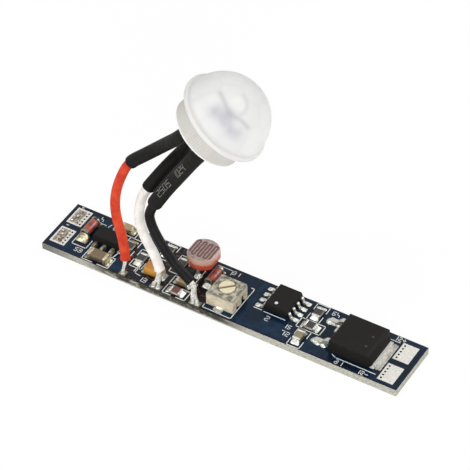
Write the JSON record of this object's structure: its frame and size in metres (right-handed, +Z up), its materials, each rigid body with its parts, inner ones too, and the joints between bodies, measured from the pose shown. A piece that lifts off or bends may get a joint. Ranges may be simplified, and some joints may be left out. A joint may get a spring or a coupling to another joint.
{
  "type": "motion sensor switch",
  "caption": "Narrow circuit board with solder lands at both ends, a trimmer, a timer chip and a power transistor, and a tilted domed sensor head held above it on sleeved wires.",
  "frame": {"origin": "centre of the board's flat underside, on which the part rests", "axes": "+Z up, +X along the board from the supply lands to the output lands, +Y towards the board's edge behind the photocell"},
  "size_m": [0.061, 0.0142, 0.0417],
  "materials": {
    "board": "blue solder mask over glass-fibre board",
    "tinned_copper": "tinned copper lands and pads",
    "solder": "bright solder",
    "resistor_case": "dark glazed chip resistor",
    "capacitor_case": "beige ceramic",
    "input_case": "brown ceramic",
    "chip_metal": "tinned chip ends",
    "tantalum_case": "yellow-orange moulded case",
    "diode_glass": "orange-red glass",
    "black_case": "black moulded case",
    "leg_metal": "tinned legs",
    "photocell_body": "pale clear-coated ceramic",
    "photocell_trace": "dark red winding track",
    "trimmer_case": "cream ceramic",
    "trimmer_metal": "grey sheet metal",
    "rotor_case": "cream moulded rotor",
    "lens_plastic": "milky moulded lens",
    "can_metal": "plated sheet metal",
    "window_filter": "dark infrared filter",
    "element_ceramic": "sensing ceramic",
    "header_metal": "plated header",
    "pin_metal": "tinned pins",
    "sleeve": "black shrunk sleeve",
    "wire_red": "red insulation",
    "wire_white": "white insulation",
    "wire_black": "black insulation",
    "strand_metal": "tinned strands"
  },
  "bodies": {
    "module": {"circuit_board": "board", "supply_land_plus": "tinned_copper", "supply_land_minus": "tinned_copper", "output_land_plus": "tinned_copper", "output_land_minus": "tinned_copper", "chip_resistor_1": "resistor_case", "chip_resistor_2": "resistor_case", "chip_resistor_3": "resistor_case", "chip_resistor_4": "resistor_case", "chip_resistor_5": "resistor_case", "chip_resistor_6": "resistor_case", "chip_resistor_7": "resistor_case", "chip_capacitor_1": "capacitor_case", "chip_capacitor_2": "capacitor_case", "chip_capacitor_3": "capacitor_case", "input_capacitor": "input_case", "chip_ends": "chip_metal", "tantalum_capacitor": "tantalum_case", "tantalum_terminals": "leg_metal", "diode_in_glass": "diode_glass", "diode_in_caps": "chip_metal", "diode_out_glass": "diode_glass", "diode_out_caps": "chip_metal", "regulator": "black_case", "regulator_legs": "leg_metal", "photocell": "photocell_body", "photocell_leads": "leg_metal", "photocell_track": "photocell_trace", "trimmer_base": "trimmer_case", "trimmer_top_plate": "trimmer_metal", "trimmer_terminals": "leg_metal", "timer_chip": "black_case", "timer_legs": "leg_metal", "transistor": "black_case", "transistor_tab": "leg_metal", "transistor_legs": "leg_metal", "lens_cap": "lens_plastic", "sensor_can": "can_metal", "sensor_window": "window_filter", "sensor_element": "element_ceramic", "sensor_header": "header_metal", "sensor_pins": "pin_metal", "sleeve_red": "sleeve", "sleeve_white": "sleeve", "sleeve_black": "sleeve", "wire_red": "wire_red", "wire_white": "wire_white", "wire_black": "wire_black", "lead_strands": "strand_metal", "solder_joints": "solder", "component_pads": "tinned_copper"},
    "rotor": {"trimmer_rotor": "rotor_case"}
  },
  "joints": [
    {"name": "trimmer_turn", "type": "hinge", "parent": "module", "child": "rotor", "pos_m": [0, -0.0013, 0.0033], "axis": [0, 0, 1], "range_deg": [-105, 105]}
  ]
}
